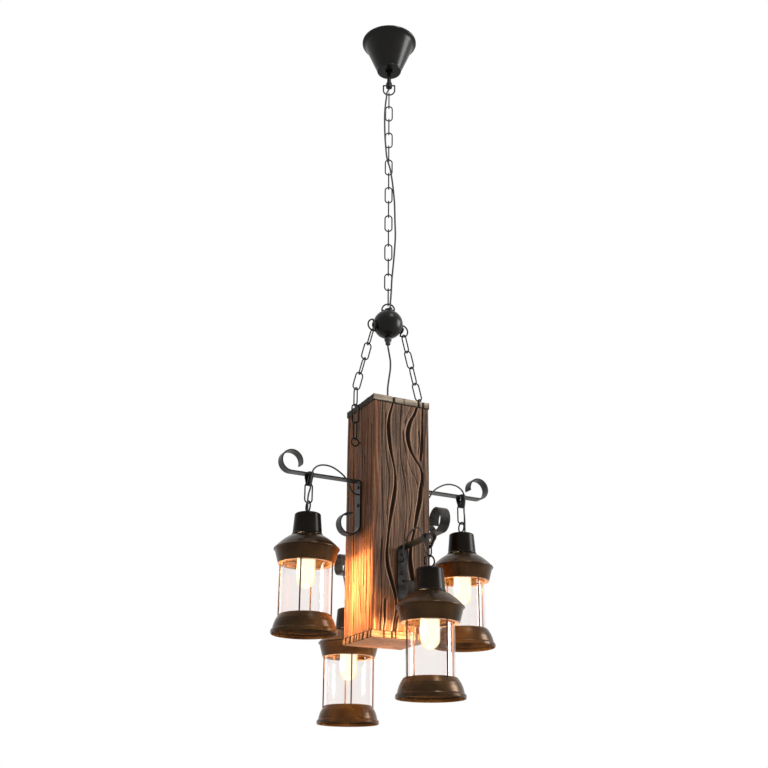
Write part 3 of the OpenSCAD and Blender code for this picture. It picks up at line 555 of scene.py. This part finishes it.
def wear(shader, relief=None, depth=0.0, strength=0.7, **sockets):
    """Joins sockets and values to the shader. Relief is a bump of that depth in metres."""
    if relief is not None:
        bump = {"Height": relief, "Distance": depth, "Strength": strength}
        sockets["Normal"] = relief.node("Bump", {}, bump)
    for name, value in sockets.items():
        place = shader.inputs[name.replace("_", " ")]
        if isinstance(value, Socket):
            shader.id_data.links.new(value.out, place)
        else:
            place.default_value = value


ALONG_X, ALONG_Z = 0, 2


def stretched(where, run, along, across):
    """A place scaled by along on the axis that the grain runs on, and by across on the other two."""
    return where.scaled(*(along if axis == run else across for axis in range(3)))


def timber(name, dark, middle, light, run, painted_lamplight=0.0):
    """Brushed and waxed timber with its grain along one axis. Grooves are dark and their lips pale. The last
    argument is painted warm lamplight: how far the colour turns redder towards the foot of the post."""
    shader, where = start(name)
    flow = stretched(where, run, 0.045, 1.0)
    bands = flow.noise(95, 4, 0.6, 0.6)
    streaks = flow.noise(230, 3, 0.6, 0.3)
    fine = flow.noise(520, 3, 0.6)
    patches = where.scaled(1, 1, 0.3).noise(9, 2, 0.5)
    pores = stretched(where, run, 0.12, 2.2).noise(620, 2, 0.5).band(0.60, 0.70)
    carve, lip, grain = (where.node("Attribute", {"attribute_name": kept}, {}, "Fac")
                         for kept in ("carve", "lip", "grain"))
    height = where.node("SeparateXYZ", {}, {0: where}, 2)
    colour = bands.band(0.38, 0.62).tint(dark, middle)
    colour = (streaks.band(0.46, 0.64) * 0.65).tint(colour, light)
    colour = (fine.band(0.52, 0.72) * 0.35).tint(colour, shade(light, 1.25))
    colour = (patches.band(0.42, 0.68) * 0.45).tint(colour, shade(middle, 0.6))
    colour = (grain.band(0.35, 1.0) * 0.6).tint(colour, shade(dark, 0.9))
    colour = ((1 - grain.band(0.0, 0.32)) * 0.22).tint(colour, shade(light, 1.2))
    # Painted warm lamplight from the lanterns, redder towards the foot of the post
    low = 1 - height.band(POST_BOTTOM + 0.05, POST_BOTTOM + 0.38)
    colour = (low * painted_lamplight).tint(colour, (1.7 * dark[0], 1.15 * dark[1], 0.4 * dark[2]))
    colour = (lip.band(0.15, 0.75) * 0.85).tint(colour, shade(light, 1.7))
    colour = (pores * 0.6).tint(colour, shade(dark, 0.35))
    colour = (carve.band(0.06, 0.50) * 0.92).tint(colour, shade(dark, 0.28))
    wear(shader, bands * 0.4 + streaks * 0.4 + fine * 0.3 - pores * 0.3, 0.0016, 0.9,
         Base_Color=colour, Roughness=fine * 0.25 + 0.38 + carve * 0.2, Specular_IOR_Level=0.15)


def metal(name, dark, light, metallic, rough, spots, bump, gloss=0.5):
    """Painted or forged metal: two close tones in soft patches, a fine grain and an uneven sheen. Spots is
    the patches' scale, bump the depth of the relief in metres, and gloss how strongly the paint reflects."""
    shader, where = start(name)
    patches = where.noise(spots, 3, 0.55)
    grain = where.noise(900, 3, 0.6)
    colour = patches.band(0.36, 0.68).tint(dark, light)
    colour = (grain.band(0.55, 0.78) * 0.3).tint(colour, shade(light, 1.5))
    wear(shader, grain * 0.5 + where.noise(150, 2, 0.5) * 0.8, bump, Base_Color=colour, Metallic=metallic,
         Roughness=patches * 0.16 + grain * 0.08 + (rough - 0.12), Specular_IOR_Level=gloss)


def moulded(name, first, second, rough, scale):
    """Plastic, glazed ceramic or cable sheath with a slight mottle."""
    shader, where = start(name)
    mottle = where.noise(scale, 3, 0.6)
    colour = mottle.band(0.35, 0.65).tint(first, second)
    wear(shader, where.noise(1100, 2, 0.5), 0.00006, Base_Color=colour,
         Roughness=mottle * 0.2 + (rough - 0.1))


def clear_glass():
    """Thin clear glass with faint upright streaks. It reflects more where it is seen edge on."""
    shader, where = start("lantern_glass")
    streak = where.scaled(1, 1, 0.12).noise(70, 2, 0.5).band(0.40, 0.66)
    edge = where.node("LayerWeight", {}, {"Blend": 0.5}, "Facing")
    clear = where.node("BsdfTransparent", {}, {"Color": (0.972, 0.958, 0.952, 1)})
    gloss = where.node("BsdfGlossy", {}, {"Color": (0.95, 0.93, 0.94, 1), "Roughness": 0.05})
    shine = edge ** 4 * 0.5 + streak * 0.03 + 0.012
    show(where.node("MixShader", {}, {0: shine, 1: clear, 2: gloss}))
    shader.id_data.nodes.remove(shader)


def lit_bulb():
    """Each bulb's glass: nearly white in the middle, amber towards its neck, clear where seen edge on."""
    for side in SIDES:
        low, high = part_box(side + "_bulb")
        shader, where = start(side + "_bulb_glow")
        height = where.node("SeparateXYZ", {}, {0: where}, 2)
        tall = high.z - low.z
        rim = where.node("LayerWeight", {}, {"Blend": 0.5}, "Facing").band(0.20, 0.95)
        neck = height.band(low.z + 0.50 * tall, low.z + 0.80 * tall)
        glow = neck.most(rim * 0.8).tint((1.0, 0.93, 0.72), (1.0, 0.62, 0.20))
        smoke = where.noise(70, 2, 0.5).tint((0.010, 0.009, 0.007), (0.014, 0.012, 0.009))
        wear(shader, Base_Color=smoke, Emission_Color=glow, Emission_Strength=1.25, Roughness=0.15)
        clear = where.node("BsdfTransparent", {}, {"Color": (1.0, 0.96, 0.87, 1)})
        show(where.node("MixShader", {}, {0: rim, 1: Socket(shader.outputs[0]), 2: clear}))


def make_materials():
    """Every finish on the chandelier."""
    timber("taupe_timber", (0.046, 0.024, 0.013), (0.122, 0.062, 0.034), (0.260, 0.143, 0.085), ALONG_Z,
           painted_lamplight=0.7)
    # A warmer, redder copy of the taupe timber: painted warm lamplight for the left board
    timber("russet_lamplit_timber", (0.050, 0.016, 0.005), (0.175, 0.062, 0.020), (0.34, 0.135, 0.052), ALONG_Z)
    timber("top_timber", (0.050, 0.034, 0.022), (0.24, 0.18, 0.13), (0.46, 0.37, 0.28), ALONG_X)
    timber("bottom_timber", (0.020, 0.008, 0.003), (0.095, 0.042, 0.017), (0.25, 0.128, 0.058), ALONG_X)
    metal("black_paint", (0.0034, 0.0031, 0.0024), (0.0064, 0.0058, 0.0044),
          metallic=0.0, rough=0.30, spots=24, bump=0.00002, gloss=0.16)
    metal("neck_paint", (0.0050, 0.0032, 0.0020), (0.0095, 0.0060, 0.0036),
          metallic=0.0, rough=0.26, spots=30, bump=0.00002, gloss=0.07)
    metal("lantern_bronze", (0.027, 0.0125, 0.0036), (0.051, 0.0245, 0.0068),
          metallic=0.5, rough=0.25, spots=22, bump=0.00003, gloss=0.18)
    metal("strap_steel", (0.013, 0.012, 0.011), (0.036, 0.034, 0.031),
          metallic=0.6, rough=0.38, spots=60, bump=0.0002, gloss=0.2)
    metal("chain_steel", (0.008, 0.007, 0.006), (0.022, 0.019, 0.016),
          metallic=0.6, rough=0.34, spots=90, bump=0.0001, gloss=0.2)
    metal("zinc_plate", (0.42, 0.43, 0.44), (0.60, 0.61, 0.62),
          metallic=1.0, rough=0.36, spots=80, bump=0.0001)
    moulded("cable", (0.008, 0.008, 0.008), (0.018, 0.017, 0.016), rough=0.55, scale=200)
    moulded("gland", (0.010, 0.010, 0.010), (0.020, 0.019, 0.018), rough=0.6, scale=150)
    moulded("glazed_holder", (0.72, 0.69, 0.62), (0.84, 0.81, 0.74), rough=0.25, scale=60)
    moulded("ivory_terminal", (0.70, 0.67, 0.58), (0.80, 0.77, 0.68), rough=0.5, scale=120)
    clear_glass()
    lit_bulb()


def dress_nodes():
    """Gives every CAD node that stays its material."""
    nodes = frame["nodes"]
    kinds = {
        "black_paint": ["canopy", "canopy_nut", "stem", "ball", "ceiling_loop"],
        "chain_steel": ["main_chain", "side_chains", "post_eyes", "ball_loops",
                        *(s + "_link" for s in SIDES)],
        "strap_steel": ["arm_screws", "hangers", *(s + "_arm" for s in SIDES)],
        "neck_paint": [s + "_neck" for s in SIDES],
        "lantern_bronze": [s + kind for s in SIDES for kind in ("_roof", "_cage")],
        "zinc_plate": ["ceiling_bracket", "bracket_nuts", "ball_nuts"],
        "gland": ["ball_gland"],
        "ivory_terminal": ["ceiling_terminal", "post_terminal"],
        "glazed_holder": [s + "_holder" for s in SIDES],
        "lantern_glass": [s + "_glass" for s in SIDES],
        **{s + "_bulb_glow": [s + "_bulb"] for s in SIDES}}
    for kind, names in kinds.items():
        for name in names:
            for place in nodes[name].material_slots:
                place.material = MATERIALS[kind]


# Light

BULB_COLOUR = (1.0, 0.69, 0.46)
ROOM_LIGHT = 0.58  # the white room's strength as light on the object, where 1 is how it is seen


def soft_box(name, place, aim, wide, tall, power):
    """A rectangular studio lamp."""
    data = bpy.data.lights.new(name, "AREA")
    data.shape, data.size, data.size_y, data.energy = "RECTANGLE", wide, tall, power
    lamp = bpy.data.objects.new(name, data)
    lamp.location = place
    lamp.rotation_mode = "QUATERNION"
    lamp.rotation_quaternion = (Vector(aim) - Vector(place)).to_track_quat("-Z", "Y")
    lamp.visible_camera = False
    bpy.context.scene.collection.objects.link(lamp)


def bulb_light(side, name, offset, power, radius):
    """The warm light of a bulb, from a small ball at offset from its lower end. It rides its lantern."""
    low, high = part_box(side + "_bulb")
    data = bpy.data.lights.new(side + name, "POINT")
    data.energy, data.color, data.shadow_soft_size = power, BULB_COLOUR, radius
    lamp = bpy.data.objects.new(side + name, data)
    lamp.location = Vector(((low.x + high.x) / 2, (low.y + high.y) / 2, low.z)) + Vector(offset)
    lamp.visible_camera, lamp.visible_glossy = False, False
    bpy.context.scene.collection.objects.link(lamp)
    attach(lamp, side + "_lantern")


def make_setting():
    """White room, two soft boxes and the four lit bulbs."""
    scene = bpy.context.scene
    scene.view_settings.view_transform = "Standard"
    world = bpy.data.worlds.new("Room")
    world.use_nodes = True
    scene.world = world
    walls = world.node_tree.nodes["Background"]
    ray = Socket(walls.outputs[0]).node("LightPath", {}, {}, "Is Camera Ray")
    seen = ray.most(ray.output("Is Glossy Ray")).most(ray.output("Is Transmission Ray"))
    wear(walls, Color=(1, 1, 1, 1), Strength=seen * (1 - ROOM_LIGHT) + ROOM_LIGHT)
    soft_box("right_box", place=(2.9, -1.4, -0.3), aim=(0, 0, -0.8), wide=1.3, tall=1.8, power=135)
    soft_box("top_box", place=(0.3, -1.6, 1.5), aim=(0, 0, -1.3), wide=0.5, tall=0.5, power=24)
    for side in SIDES:
        bulb_light(side, "_tip_light", offset=(0, 0, -0.012), power=4.2, radius=0.010)
        bulb_light(side, "_glow_a", offset=(0.027, 0, 0.034), power=5.2, radius=0.005)
        bulb_light(side, "_glow_b", offset=(-0.027, 0, 0.034), power=5.2, radius=0.005)


make_camera()
make_materials()
make_cables()
make_timber()
dress_nodes()
make_setting()
